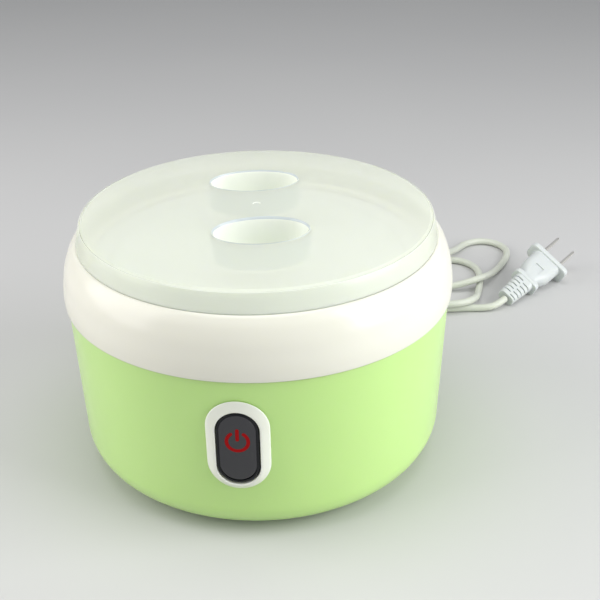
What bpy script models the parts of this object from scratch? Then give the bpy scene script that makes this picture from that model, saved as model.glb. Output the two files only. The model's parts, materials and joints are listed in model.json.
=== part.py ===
"""Yogurt maker with a round body, a lift-off lid, an inner pot, one push button and a free mains lead.

Frame: metres, +Z up, the front with the button faces -Y, the feet stand on z = 0 and the body's
axis is x = y = 0. Outlines and positions below are written in millimetres and scaled by MM.
"""

import math

import bmesh
import bpy
import numpy as np
from mathutils import Matrix, Vector

MM = 0.001
SIDES = 40
SMALL_SIDES = 16
GAP = 0.3

FOOT_HEIGHT = 1.5
FOOT_R = 6.0
FOOT_CIRCLE = 46.0
SCREW_CIRCLE = 56.0
COVER_R = 61.6
BODY_BOTTOM_R = 68.4
BODY_CORNER_R = 16.2
BODY_TOP_R = 87.2
BODY_TOP_Z = 80.3
TONGUE_TOP_Z = 90.0
COLLAR_R = 88.35
COLLAR_TOP_Z = 107.2
COLLAR_BORE_R = 80.5
LEDGE_Z = 100.0
CHAMBER_R = 68.0
CHAMBER_FLOOR_Z = 18.0
CHAMBER_TOP_Z = 97.5
POT_R = 62.6
POT_FLOOR_Z = 20.6
POT_RIM_Z = 92.3
LID_R = 79.9
LID_TOP_Z = 119.8
POCKET_OFFSET = 28.6
POCKET_TURN = 11.0
POCKET_A = 21.9
POCKET_B = 13.2
POCKET_FLOOR_Z = 106.3
LID_WALL = 1.2
SWITCH_Z = 49.4
SYMBOL_Z = 53.2
MODULE_Z = 43.0
BEZEL_SIZE = (26.4, 43.8)
OPENING_SIZE = (18.2, 34.7)
BUTTON_SIZE = (17.6, 34.1)
BUTTON_FACE_Y = -88.3
BEZEL_CREST_Y = -88.0
CORD_R = 2.1
CORD_Z = 15.0
CLAMPED_CORD_Z = 9.8
WIRE_R = 0.8
PLUG_FACE = (161.1, 173.3, 11.4)
PLUG_AXIS = (0.6021, 0.7875, 0.1317)
PLUG_ROLL = math.radians(31.9)
PIN_SPACING = 12.7

# The lead's centre line from the gland to the plug, chosen by hand as it lies behind the body.
ROUTE = [
    (0, 106.6, 15), (1.2, 119, 12.2), (17, 134.5, 2.9), (40, 133, 2.15), (66, 120.7, 2.2),
    (79.9, 118.8, 3.7), (92.1, 120.2, 6.3), (104.9, 123, 6.9), (111, 129.3, 5.8), (115.2, 142.1, 2.3),
    (118.4, 165.1, 2.15), (114.7, 183.5, 2.15), (105.6, 190.1, 2.15), (92, 188.8, 2.15),
    (68, 182.8, 2.15), (-10, 183.5, 2.15), (-30, 177.1, 2.15), (-36.5, 164.1, 2.15),
    (-30.2, 150.9, 2.15), (-9, 145, 2.15), (70, 148, 2.15), (104.6, 150.9, 4.7), (117.4, 156, 6.8),
    (126.2, 169.7, 3.7), (136.9, 194.6, 2.15), (137.9, 210.3, 2.15), (129.3, 219.5, 2.15),
    (117.2, 219.1, 2.15), (104.6, 202.6, 3.6), (95.6, 186.7, 7), (84.5, 170, 5), (65.2, 147, 6.6),
    (63.5, 137.2, 4.1), (68.1, 128.6, 2.4), (78.4, 123.7, 2.15), (110.4, 125.6, 2.15),
    (123.8, 127.4, 3.1), (130.8, 133.65, 4.75),
]


def clear_scene():
    for obj in list(bpy.data.objects):
        bpy.data.objects.remove(obj, do_unlink=True)


def material(name, colour, roughness, metallic=0.0):
    made = bpy.data.materials.new(name)
    made.use_nodes = True
    shader = made.node_tree.nodes["Principled BSDF"]
    shader.inputs["Base Color"].default_value = (*colour, 1.0)
    shader.inputs["Roughness"].default_value = roughness
    shader.inputs["Metallic"].default_value = metallic
    return made


def put(name, bm, look=None, smooth=True):
    """Make one object of the mesh, with its own look, or a hidden helper when it has no look."""
    bmesh.ops.recalc_face_normals(bm, faces=bm.faces)
    mesh = bpy.data.meshes.new(name)
    bm.to_mesh(mesh)
    bm.free()
    obj = bpy.data.objects.new(name, mesh)
    bpy.context.scene.collection.objects.link(obj)
    if smooth:
        mesh.shade_smooth()
        mesh.set_sharp_from_angle(angle=math.radians(32))
    if look is None:
        obj.hide_render = True
        obj.display_type = "WIRE"
    else:
        mesh.materials.append(material(name + "_look", *look))
    return obj


def lathe(name, outline, look=None, sides=SIDES, place=None):
    """Turn an outline of (radius, height) points once round the z axis."""
    bm = bmesh.new()
    verts = [bm.verts.new((r * MM, 0.0, z * MM)) for r, z in outline]
    edges = [bm.edges.new(pair) for pair in zip(verts, verts[1:])]
    if outline[0][0] > 0 or outline[-1][0] > 0:
        edges.append(bm.edges.new((verts[-1], verts[0])))
    bmesh.ops.spin(
        bm, geom=verts + edges, cent=(0, 0, 0), axis=(0, 0, 1), angle=math.tau,
        steps=sides, use_merge=True, use_duplicate=False,
    )
    bmesh.ops.remove_doubles(bm, verts=bm.verts, dist=1e-7)
    if place is not None:
        bmesh.ops.transform(bm, matrix=place, verts=bm.verts)
    return put(name, bm, look)


def add_loft(bm, rings, loop=False):
    """Skin a row of rings of points in millimetres, and cap its ends unless it closes on itself."""
    made = [[bm.verts.new(Vector(p) * MM) for p in ring] for ring in rings]
    pairs = list(zip(made, made[1:]))
    if loop:
        pairs.append((made[-1], made[0]))
    else:
        bm.faces.new(made[0])
        bm.faces.new(made[-1])
    for low, high in pairs:
        for i in range(len(low)):
            j = (i + 1) % len(low)
            bm.faces.new((low[i], low[j], high[j], high[i]))


def loft(name, rings, look=None, loop=False, smooth=True):
    bm = bmesh.new()
    add_loft(bm, rings, loop)
    return put(name, bm, look, smooth)


def add_box(bm, low, high):
    corners = [(low[0], low[1]), (high[0], low[1]), (high[0], high[1]), (low[0], high[1])]
    add_loft(bm, [[(x, y, z) for x, y in corners] for z in (low[2], high[2])])


def box(name, low, high, look=None):
    bm = bmesh.new()
    add_box(bm, low, high)
    return put(name, bm, look, smooth=False)


def circle(radius, sides, centre=(0.0, 0.0)):
    turns = [math.tau * i / sides for i in range(sides)]
    return [(centre[0] + radius * math.cos(t), centre[1] + radius * math.sin(t)) for t in turns]


def posts(name, spots, radius, low, high, look=None, sides=12):
    """Upright cylinders at (x, y) spots, as one helper."""
    bm = bmesh.new()
    for spot in spots:
        ring = circle(radius, sides, spot)
        add_loft(bm, [[(x, y, z) for x, y in ring] for z in (low, high)])
    return put(name, bm, look)


def stadium(width, height, steps=8):
    """Points (x, z) round an upright slot shape with half-round ends."""
    radius = width / 2
    lift = (height - width) / 2
    points = []
    for side, shift in ((0.0, lift), (math.pi, -lift)):
        for i in range(steps + 1):
            turn = side + math.pi * i / steps
            points.append((radius * math.cos(turn), shift + radius * math.sin(turn)))
    return points


def slot_ring(width, height, y, centre_z=SWITCH_Z):
    return [(x, y, centre_z + z) for x, z in stadium(width, height)]


def boolean(obj, other, operation):
    modifier = obj.modifiers.new(other.name, "BOOLEAN")
    modifier.operation = operation
    modifier.solver = "EXACT"
    modifier.object = other


def cut(obj, *others):
    for other in others:
        boolean(obj, other, "DIFFERENCE")


def join(obj, *others):
    for other in others:
        boolean(obj, other, "UNION")


def set_origin(obj, point):
    """Move the object's origin to a point in millimetres and leave its shape where it is."""
    shift = Vector(point) * MM
    obj.data.transform(Matrix.Translation(-shift))
    obj.location = shift


def smooth_line(points, spacing):
    """A natural cubic spline through the points, read at even steps of about the spacing."""
    p = np.array(points, float)
    knots = np.r_[0, np.cumsum(np.linalg.norm(np.diff(p, axis=0), axis=1))]
    h = np.diff(knots)
    n = len(p)
    a = np.eye(n)
    b = np.zeros((n, 3))
    for i in range(1, n - 1):
        a[i, i - 1:i + 2] = (h[i - 1], 2 * (h[i - 1] + h[i]), h[i])
        b[i] = 6 * ((p[i + 1] - p[i]) / h[i] - (p[i] - p[i - 1]) / h[i - 1])
    m = np.linalg.solve(a, b)
    fine = []
    for i in range(n - 1):
        u = (knots[i + 1] - np.linspace(knots[i], knots[i + 1], 24))[:, None]
        v = h[i] - u
        bend = (m[i] * u**3 + m[i + 1] * v**3) / (6 * h[i])
        line = (p[i] / h[i] - m[i] * h[i] / 6) * u + (p[i + 1] / h[i] - m[i + 1] * h[i] / 6) * v
        fine.append(bend + line)
    fine = np.vstack(fine)
    along = np.r_[0, np.cumsum(np.linalg.norm(np.diff(fine, axis=0), axis=1))]
    steps = np.linspace(0, along[-1], max(2, round(along[-1] / spacing) + 1))
    return np.column_stack([np.interp(steps, along, fine[:, k]) for k in range(3)])


def tube(name, line, radius, look, resolution):
    curve = bpy.data.curves.new(name, "CURVE")
    curve.dimensions = "3D"
    curve.bevel_depth = radius * MM
    curve.bevel_resolution = resolution
    curve.use_fill_caps = True
    spline = curve.splines.new("POLY")
    spline.points.add(len(line) - 1)
    for point, at in zip(spline.points, line):
        point.co = (at[0] * MM, at[1] * MM, at[2] * MM, 1.0)
    spline.use_smooth = True
    curve.materials.append(material(name + "_look", *look))
    obj = bpy.data.objects.new(name, curve)
    bpy.context.scene.collection.objects.link(obj)
    return obj


def wall_r(z):
    """Outer radius of the body's tapered wall at a height."""
    foot_r = BODY_BOTTOM_R + BODY_CORNER_R
    return foot_r + (BODY_TOP_R - foot_r) * (z - 17.0) / (BODY_TOP_Z - 17.0)


def arc(centre, radius, start, end, steps):
    turns = [math.radians(start + (end - start) * i / steps) for i in range(steps + 1)]
    return [(centre[0] + radius * math.cos(t), centre[1] + radius * math.sin(t)) for t in turns]


def around(radius, first, count=4):
    turns = [math.radians(first + 360 * i / count) for i in range(count)]
    return [(radius * math.cos(t), radius * math.sin(t)) for t in turns]


def outer_shell():
    corner = (BODY_BOTTOM_R, FOOT_HEIGHT + BODY_CORNER_R)
    outline = [(62.0, FOOT_HEIGHT)]
    outline += arc(corner, BODY_CORNER_R, -90, -2.45, 6)
    outline += [(BODY_TOP_R, BODY_TOP_Z), (85.5, BODY_TOP_Z), (85.4, TONGUE_TOP_Z), (83.6, TONGUE_TOP_Z)]
    outline += [(83.6, 78.0)]
    outline += arc(corner, 14.0, -2.45, -56, 4)
    outline += [(53.0, 6.1), (53.0, 3.9), (62.0, 3.9)]
    shell = lathe("outer_shell", outline, ((0.46, 0.66, 0.25), 0.22))
    spots = around(SCREW_CIRCLE, 45)
    bosses = posts("shell_bosses", spots, 3.4, 4.3, 11.5)
    holes = posts("shell_pilot_holes", spots, 1.6, 2.5, 11.0)
    opening = loft("shell_front_opening", [slot_ring(22.4, 39.8, y) for y in (-95.0, -76.0)])
    rear = lathe("shell_rear_hole", [(0, 76), (4.2, 76), (4.2, 92), (0, 92)], None, SMALL_SIDES, along_y(CORD_Z))
    join(shell, bosses)
    cut(shell, holes, opening, rear)


def along_y(z):
    """Lay a turned piece down so that its axis runs along +Y at a height."""
    return Matrix.Translation((0, 0, z * MM)) @ Matrix.Rotation(math.radians(-90), 4, "X")


def collar_ring():
    outline = [(88.0, 80.8), (COLLAR_R, 84.5), (88.2, 88.5), (87.6, 92.5), (86.7, 97.0), (85.3, 101.0)]
    outline += [(83.9, 104.0), (82.4, 106.1), (81.4, 107.0), (80.9, COLLAR_TOP_Z), (COLLAR_BORE_R, 106.8)]
    outline += [(COLLAR_BORE_R, LEDGE_Z), (75.0, LEDGE_Z), (75.0, 97.8), (82.9, 97.8), (85.6, 92.0)]
    outline += [(85.75, 80.8)]
    lathe("collar_ring", outline, ((0.86, 0.86, 0.81), 0.25))


def heating_chamber():
    outline = [(0, CHAMBER_FLOOR_Z), (65.0, CHAMBER_FLOOR_Z), (CHAMBER_R, 21.0), (CHAMBER_R, 95.3)]
    outline += [(82.4, 95.3), (82.4, CHAMBER_TOP_Z), (66.2, CHAMBER_TOP_Z), (66.2, 22.0), (64.4, 20.0), (0, 20.0)]
    chamber = lathe("heating_chamber", outline, ((0.78, 0.79, 0.80), 0.3))
    spots = [(-41.0, 0.0), (41.0, 0.0)]
    join(chamber, posts("chamber_bosses", spots, 3.2, 12.0, 18.9))
    cut(chamber, posts("chamber_pilot_holes", spots, 1.3, 10.0, 17.5))


def heater():
    lathe("heat_spreader", [(0, 15.9), (36, 15.9), (36, 17.7), (0, 17.7)], ((0.72, 0.73, 0.74), 0.35, 1.0), 32)
    box("ptc_heater", (-12, -8, 12.0), (12, 8, 15.6), ((0.80, 0.62, 0.30), 0.5))
    strap = box("heater_clamp", (-46, -5, 10.9), (46, 5, 11.7), ((0.62, 0.62, 0.62), 0.35, 1.0))
    cut(strap, posts("strap_holes", [(-41.0, 0.0), (41.0, 0.0)], 1.5, 10.0, 12.5))
    turn = Matrix.Translation((-5.5 * MM, 18 * MM, 13.2 * MM)) @ Matrix.Rotation(math.radians(90), 4, "Y")
    outline = [(0, 0), (1.6, 0), (2.2, 0.8), (2.2, 10.2), (1.6, 11), (0, 11)]
    lathe("thermal_fuse", outline, ((0.85, 0.83, 0.78), 0.4), SMALL_SIDES, turn)


def base_cover():
    cover = lathe("base_cover", [(0, 1.7), (COVER_R, 1.7), (COVER_R, 3.6), (0, 3.6)], ((0.83, 0.83, 0.79), 0.4))
    join(cover, posts("cover_posts", [(-8.0, 44.0), (8.0, 44.0)], 3.0, 2.6, 9.6))
    join(cover, box("cover_rib", (-3, 40, 2.6), (3, 48, 7.35)))
    cut(cover, posts("cover_pilot_holes", [(-8.0, 44.0), (8.0, 44.0)], 1.4, 4.3, 12.0))
    cut(cover, posts("cover_screw_holes", around(SCREW_CIRCLE, 45), 1.8, 0.5, 5.0))
    cut(cover, posts("cover_foot_holes", around(FOOT_CIRCLE, 45), 2.3, 0.5, 5.0))


def feet():
    outline = [(0, 0), (5.4, 0), (FOOT_R, 0.5), (FOOT_R, 1.4), (2.0, 1.4), (2.0, 3.9), (2.6, 4.3), (2.0, 5.4), (0, 5.4)]
    for i, (x, y) in enumerate(around(FOOT_CIRCLE, 45)):
        place = Matrix.Translation((x * MM, y * MM, 0))
        lathe(f"foot_{i + 1}", outline, ((0.08, 0.08, 0.08), 0.8), SMALL_SIDES, place)


def screw(name, spot, head, shank, size):
    """A screw, with a crosshead where its head shows: head and shank are (z outside, z inside)."""
    way = 1 if head[1] > head[0] else -1
    outline = [(0, head[0]), (size[0] - 0.5, head[0]), (size[0], head[0] + 0.5 * way), (size[0], head[1])]
    outline += [(size[1], head[1]), (size[1], shank[1] - 1.2 * way), (0.3, shank[1]), (0, shank[1])]
    place = Matrix.Translation((spot[0] * MM, spot[1] * MM, 0))
    made = lathe(name, outline, ((0.66, 0.66, 0.65), 0.3, 1.0), 12, place)
    if size[0] < 2.6:
        return
    a, b = 0.32, size[0] * 0.62
    cross = [(a, a), (a, b), (-a, b), (-a, a), (-b, a), (-b, -a), (-a, -a), (-a, -b), (a, -b), (a, -a), (b, -a), (b, a)]
    low, high = head[0] - 1.0 * way, head[0] + 0.65 * way
    rings = [[(spot[0] + x, spot[1] + y, z) for x, y in cross] for z in sorted((low, high))]
    cut(made, loft(name + "_recess", rings, smooth=False))


def screws():
    for i, spot in enumerate(around(SCREW_CIRCLE, 45)):
        screw(f"base_screw_{i + 1}", spot, (0.25, 1.4), (1.4, 10.5), (2.6, 1.3))
    for i, x in enumerate((-41.0, 41.0)):
        screw(f"heater_screw_{i + 1}", (x, 0.0), (9.2, 10.6), (10.6, 16.5), (2.4, 1.0))
    for i, x in enumerate((-8.0, 8.0)):
        screw(f"cord_clamp_screw_{i + 1}", (x, 44.0), (15.7, 14.3), (14.3, 5.0), (2.4, 1.1))


def cord_entry():
    outline = [(0, 77.4), (5.4, 77.4), (5.4, 79.4), (3.9, 79.4), (3.9, 85.0), (6.0, 85.0), (6.0, 86.4)]
    outline += [(5.4, 87.0), (4.4, 87.3), (4.1, 89.5), (4.1, 91.0), (3.6, 91.0), (3.6, 92.4), (4.0, 92.4)]
    outline += [(3.8, 95.2), (3.3, 95.2), (3.3, 96.6), (3.7, 96.6), (3.5, 99.4), (3.0, 99.4), (3.0, 100.8)]
    outline += [(3.4, 100.8), (3.0, 105.7), (0, 105.7)]
    lathe("cord_strain_relief", outline, ((0.80, 0.81, 0.76), 0.45), 20, along_y(CORD_Z))
    line = smooth_line([(0, 77.1, 15.0), (0, 70, 14.4), (0, 60, 11.9), (0, 51, 9.9), (0, 38, CLAMPED_CORD_Z)], 4.5)
    line[:, 2] = np.maximum(line[:, 2], CLAMPED_CORD_Z)
    tube("cord_inner_end", line, CORD_R, ((0.80, 0.81, 0.76), 0.45), 2)
    clamp = box("cord_clamp", (-11, 40, 9.9), (11, 48, 14.0), ((0.75, 0.75, 0.72), 0.5))
    groove = lathe("clamp_groove", [(0, 37), (2.5, 37), (2.5, 51), (0, 51)], None, SMALL_SIDES, along_y(CLAMPED_CORD_Z))
    cut(clamp, groove, posts("clamp_holes", [(-8.0, 44.0), (8.0, 44.0)], 1.4, 8.5, 15.5))


def wires():
    brown, blue = ((0.22, 0.08, 0.04), 0.45), ((0.05, 0.15, 0.45), 0.45)
    live = [(1.1, 37.4, 9.8), (10, 30, 7.8), (24, 10, 6.4), (22, -25, 6.2), (10, -54, 8.2), (5, -67, 11.0)]
    live += [(3.8, -71.6, 16), (3.5, -71.3, 25), (3.5, -71.2, 36.2)]
    switched = [(-3.5, -71.2, 36.2), (-3.5, -71.3, 25), (-3.8, -71.6, 16), (-5, -67, 11.0), (-10, -54, 8.2)]
    switched += [(-20, -28, 7), (-27, -12, 8.5), (-22, -7, 12), (-12.4, -6.5, 13.8)]
    link = [(12.4, 6.5, 13.8), (16.5, 8.5, 13.6), (17.5, 13, 13.4), (13, 17.2, 13.2), (5.9, 18, 13.2)]
    neutral = [(-5.9, 18, 13.2), (-11, 19.5, 12.6), (-12.5, 26, 11.2), (-7, 33, 10.2), (-1.1, 37.4, 9.8)]
    tube("wire_live", smooth_line(live, 8.0), WIRE_R, brown, 1)
    tube("wire_switched", smooth_line(switched, 8.0), WIRE_R, brown, 1)
    tube("wire_heater_link", smooth_line(link, 3.0), WIRE_R, blue, 1)
    tube("wire_neutral", smooth_line(neutral, 3.5), WIRE_R, blue, 1)


def switch_bezel():
    width, height = BEZEL_SIZE
    inner_w, inner_h = OPENING_SIZE
    rings = [slot_ring(width, height, -80.0), slot_ring(width, height, -86.6)]
    rings += [slot_ring(width - 0.6, height - 0.6, -87.4), slot_ring(width - 1.8, height - 1.8, BEZEL_CREST_Y + 0.1)]
    rings += [slot_ring(width - 3.0, height - 3.0, BEZEL_CREST_Y), slot_ring(inner_w + 2.2, inner_h + 2.2, -87.7)]
    rings += [slot_ring(inner_w + 0.6, inner_h + 0.6, -87.4), slot_ring(inner_w, inner_h, -87.0)]
    rings += [slot_ring(inner_w, inner_h, -80.0)]
    bezel = loft("switch_bezel", rings, ((0.88, 0.89, 0.88), 0.2), loop=True)
    low, high = 10.0, 90.0
    body = lathe("bezel_seat", [(0, low), (wall_r(low) + GAP, low), (wall_r(high) + GAP, high), (0, high)])
    sleeve = [slot_ring(21.8, 39.2, -76.0), slot_ring(21.8, 39.2, -86.9)]
    sleeve += [slot_ring(inner_w + 0.2, inner_h + 0.2, -86.9), slot_ring(inner_w + 0.2, inner_h + 0.2, -76.0)]
    cut(bezel, body)
    join(bezel, loft("bezel_sleeve", sleeve, loop=True))


def symbol_ring(name, inner, outer, half_gap, front, back, look=None):
    """A ring open at the top, standing out of the cap along -Y."""
    first, last = math.radians(90 + half_gap), math.radians(450 - half_gap)
    turns = [first + (last - first) * i / 24 for i in range(25)]
    points = [(outer * math.cos(t), outer * math.sin(t)) for t in turns]
    points += [(inner * math.cos(t), inner * math.sin(t)) for t in reversed(turns)]
    rings = [[(x, y, SYMBOL_Z + z) for x, z in points] for y in (front, back)]
    return loft(name, rings, look)


def disc_y(name, radius, front, back, z, look=None, sides=24):
    rings = [[(x, y, z + v) for x, v in circle(radius, sides)] for y in (front, back)]
    return loft(name, rings, look)


def power_button():
    width, height = BUTTON_SIZE
    rings = [slot_ring(width - 0.6, height - 0.6, BUTTON_FACE_Y), slot_ring(width, height, BUTTON_FACE_Y + 0.3)]
    rings += [slot_ring(width, height, -80.0)]
    cap = loft("power_button", rings, ((0.012, 0.012, 0.013), 0.25))
    recess = loft("cap_recess", [slot_ring(15.7, 32.7, y) for y in (-90.0, -87.1)])
    cut(cap, recess, disc_y("cap_pocket", 6.6, -88.6, -86.0, SYMBOL_Z))
    cut(cap, disc_y("cap_light_channel", 2.2, -87.0, -78.0, SYMBOL_Z, sides=12))
    panel = loft("button_panel", [slot_ring(15.1, 32.1, y) for y in (-88.2, -87.4)], ((0.055, 0.055, 0.06), 0.45))
    cut(panel, symbol_ring("panel_ring_slot", 3.35, 5.6, 33.0, -89.0, -86.9))
    cut(panel, box("panel_bar_slot", (-1.1, -89.0, SYMBOL_Z - 0.3), (1.1, -86.9, SYMBOL_Z + 6.5)))
    red = ((0.42, 0.008, 0.012), 0.35)
    symbol = disc_y("power_symbol", 6.3, -87.1, -86.3, SYMBOL_Z, red)
    join(symbol, symbol_ring("symbol_ring_raised", 3.65, 5.3, 37.0, -88.25, -86.7))
    join(symbol, box("symbol_bar_raised", (-0.8, -88.25, SYMBOL_Z), (0.8, -86.7, SYMBOL_Z + 6.2)))
    plunger = box("switch_plunger", (-2, -79.7, MODULE_Z - 2), (2, -73.4, MODULE_Z + 2), ((0.75, 0.75, 0.73), 0.45))
    for obj in (cap, panel, symbol, plunger):
        set_origin(obj, (0.0, BUTTON_FACE_Y, SWITCH_Z))


def switch_inside():
    holder = box("switch_holder", (-13, -75.7, 27.4), (13, -73.7, 71.4), ((0.70, 0.70, 0.68), 0.5))
    cut(holder, box("holder_module_hole", (-6.75, -78, MODULE_Z - 6.75), (6.75, -71, MODULE_Z + 6.75)))
    cut(holder, disc_y("holder_led_hole", 1.8, -78.0, -71.0, SYMBOL_Z, sides=12))
    dark = ((0.03, 0.03, 0.03), 0.4)
    module = box("switch_module", (-6.4, -77.5, MODULE_Z - 6.4), (6.4, -69.0, MODULE_Z + 6.4), dark)
    cut(module, box("module_bore", (-2.3, -79, MODULE_Z - 2.3), (2.3, -70.6, MODULE_Z + 2.3)))
    outline = [(0, -77.6), (0.9, -77.4), (1.5, -76.6), (1.5, -71.5), (0, -71.5)]
    lathe("indicator_led", outline, ((0.6, 0.02, 0.02), 0.2), 12, along_y(SYMBOL_Z))


def inner_pot():
    outline = [(0, POT_FLOOR_Z), (57.6, POT_FLOOR_Z), (61.1, 22.1), (POT_R, 25.6), (POT_R, 90.6), (65.0, 91.3)]
    outline += [(65.0, POT_RIM_Z), (61.8, POT_RIM_Z), (61.8, 26.0), (60.5, 22.9), (57.2, 21.4), (0, 21.4)]
    lathe("inner_pot", outline, ((0.70, 0.70, 0.69), 0.2, 1.0))


def pot_lid():
    lathe("pot_lid_seal", [(61.9, 92.6), (64.8, 92.6), (64.8, 93.2), (61.9, 93.2)], ((0.85, 0.86, 0.85), 0.6))
    outline = [(0, 103.8), (8.4, 103.8), (10.2, 103.0), (10.5, 101.9), (9.0, 98.4), (12.0, 96.6), (56.0, 95.6)]
    outline += [(64.4, 95.3), (64.8, 94.9), (64.8, 93.5), (61.2, 93.5), (61.2, 88.5), (59.8, 88.5), (59.8, 93.6)]
    outline += [(12.0, 94.2), (0, 94.2)]
    lathe("pot_lid", outline, ((0.80, 0.83, 0.82), 0.3))


def ellipse_ring(a, b, z, side, sides=32):
    turn = math.radians(POCKET_TURN)
    points = []
    for i in range(sides):
        t = math.tau * i / sides
        u = a * math.cos(t)
        v = side * POCKET_OFFSET + b * math.sin(t)
        points.append((u * math.cos(turn) - v * math.sin(turn), u * math.sin(turn) + v * math.cos(turn), z))
    return points


def outer_lid():
    outline = [(LID_R, 100.4), (LID_R, 107.3), (80.5, 108.2), (80.6, 111.3), (79.9, 114.0), (78.4, 116.4)]
    outline += [(76.9, 117.7), (74.5, 118.5), (72.0, 119.0), (45.0, 119.6), (0, LID_TOP_Z), (0, 118.5)]
    outline += [(45.0, 118.3), (72.5, 117.5), (76.0, 116.2), (78.4, 113.2), (79.1, 109.5), (78.5, 107.3)]
    outline += [(78.5, 100.4)]
    lid = lathe("outer_lid", outline[10:] + outline[:10], ((0.76, 0.84, 0.78), 0.22))
    cups = bmesh.new()
    wells = bmesh.new()
    for side in (-1, 1):
        low = POCKET_FLOOR_Z - LID_WALL
        cup = [(20.8, 12.2, low), (22.2, 13.6, low + 0.9), (POCKET_A + 1.2, POCKET_B + 1.2, 118.9)]
        add_loft(cups, [ellipse_ring(a, b, z, side) for a, b, z in cup])
        well = [(20.2, 11.6, POCKET_FLOOR_Z), (21.3, 12.6, POCKET_FLOOR_Z + 0.9), (POCKET_A, POCKET_B, 118.6)]
        well += [(POCKET_A + 0.4, POCKET_B + 0.4, 119.5), (POCKET_A + 1.0, POCKET_B + 1.0, 121.0)]
        add_loft(wells, [ellipse_ring(a, b, z, side) for a, b, z in well])
    join(lid, put("lid_cups", cups))
    cut(lid, put("lid_wells", wells))


def plug_frame():
    """The plug's face centre and its axis, pin-spacing and flat-side directions."""
    axis = Vector(PLUG_AXIS).normalized()
    level = Vector((axis.y, -axis.x, 0)).normalized()
    up = level.cross(axis)
    across = math.cos(PLUG_ROLL) * level - math.sin(PLUG_ROLL) * up
    flat = math.sin(PLUG_ROLL) * level + math.cos(PLUG_ROLL) * up
    return Vector(PLUG_FACE), axis, across, flat


def plug_point(t, s, n):
    centre, axis, across, flat = plug_frame()
    return centre + t * axis + s * across + n * flat


def rounded(width, height, radius, steps=4):
    points = []
    for k, (sx, sy) in enumerate(((1, 1), (-1, 1), (-1, -1), (1, -1))):
        for i in range(steps + 1):
            turn = math.radians(90 * k + 90 * i / steps)
            x = sx * (width / 2 - radius) + radius * math.cos(turn)
            points.append((x, sy * (height / 2 - radius) + radius * math.sin(turn)))
    return points


def plug_section(t, width, height, radius):
    return [plug_point(t, s, n) for s, n in rounded(width, height, radius)]


def plug_box(bm, t, s, n):
    corners = [(s[0], n[0]), (s[1], n[0]), (s[1], n[1]), (s[0], n[1])]
    add_loft(bm, [[plug_point(at, a, b) for a, b in corners] for at in t])


def plug():
    sections = [(0, 27.4, 10.4, 3.2), (-0.5, 28.2, 11.2, 3.5), (-3.9, 28.2, 11.2, 3.5), (-4.1, 20.0, 10.4, 4.8)]
    sections += [(-10, 19.9, 10.9, 5.0), (-16.5, 19.3, 10.9, 5.0), (-20, 17.6, 10.3, 4.8), (-22.4, 15.0, 9.5, 4.3)]
    sections += [(-24.4, 12.9, 8.8, 4.0), (-26.5, 12.5, 8.6, 3.9), (-26.7, 17.2, 9.1, 2.8), (-27.1, 17.6, 9.5, 3.0)]
    sections += [(-29.6, 17.6, 9.5, 3.0), (-29.9, 12.6, 8.6, 3.0), (-49.1, 10.7, 7.2, 3.0), (-49.7, 9.9, 6.5, 2.8)]
    white = ((0.86, 0.88, 0.87), 0.4)
    body = loft("plug_body", [plug_section(*section) for section in sections], white)
    sockets = bmesh.new()
    slots = bmesh.new()
    for side in (-1, 1):
        middle = side * PIN_SPACING / 2
        plug_box(sockets, (-7.6, 2.0), (middle - 1.05, middle + 1.05), (-3.45, 3.45))
        for row in range(5):
            at = -32.9 - 3.4 * row - (1.7 if side > 0 else 0)
            for n in ((1.9, 7.0), (-7.0, -1.9)):
                plug_box(slots, (at - 0.45, at + 0.45), sorted((side * 0.6, side * 8.0)), n)
    cut(body, put("pin_sockets", sockets), put("relief_slots", slots))
    for name, side in (("plug_pin_1", -1), ("plug_pin_2", 1)):
        middle = side * PIN_SPACING / 2
        outline = [(-7.2, 0.75, 3.15), (18.0, 0.75, 3.15), (19.4, 0.4, 2.2)]
        rings = []
        for t, s, n in outline:
            corners = [(middle - s, -n), (middle + s, -n), (middle + s, n), (middle - s, n)]
            rings.append([plug_point(t, a, b) for a, b in corners])
        loft(name, rings, ((0.72, 0.68, 0.62), 0.25, 1.0), smooth=False)


def power_cord():
    line = smooth_line(ROUTE, 10.2)
    line[:, 2] = np.maximum(line[:, 2], CORD_R + 0.05)
    tube("power_cord", line, CORD_R, ((0.80, 0.81, 0.75), 0.4), 2)


def main():
    clear_scene()
    outer_shell()
    collar_ring()
    heating_chamber()
    heater()
    base_cover()
    feet()
    screws()
    cord_entry()
    wires()
    switch_bezel()
    power_button()
    switch_inside()
    inner_pot()
    pot_lid()
    outer_lid()
    plug()
    power_cord()


main()
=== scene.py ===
"""Visual model of the yogurt maker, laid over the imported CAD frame. Metres, +Z up, front at -Y."""

import json
import math

import bmesh
import bpy
import numpy as np
from mathutils import Matrix, Vector


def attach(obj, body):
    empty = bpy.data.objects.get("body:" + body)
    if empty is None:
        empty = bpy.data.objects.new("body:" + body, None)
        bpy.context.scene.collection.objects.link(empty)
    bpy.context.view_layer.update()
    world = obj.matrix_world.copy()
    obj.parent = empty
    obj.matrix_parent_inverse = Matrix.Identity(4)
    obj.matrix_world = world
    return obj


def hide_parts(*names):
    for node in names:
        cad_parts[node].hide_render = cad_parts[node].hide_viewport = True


MM = 0.001
FINE = 176  # sides of a round casing

# The camera's angles in radians, and its places in millimetres
CAMERA_TURN = math.radians(4.7)
CAMERA_PITCH, CAMERA_ROLL = 0.4878, 0.0138
CAMERA_AIM = Vector((18.72, 0, 70.65))  # before it turns round the body with the camera
CAMERA_DISTANCE = 495.04
CAMERA_LENS = 63.6

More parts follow.
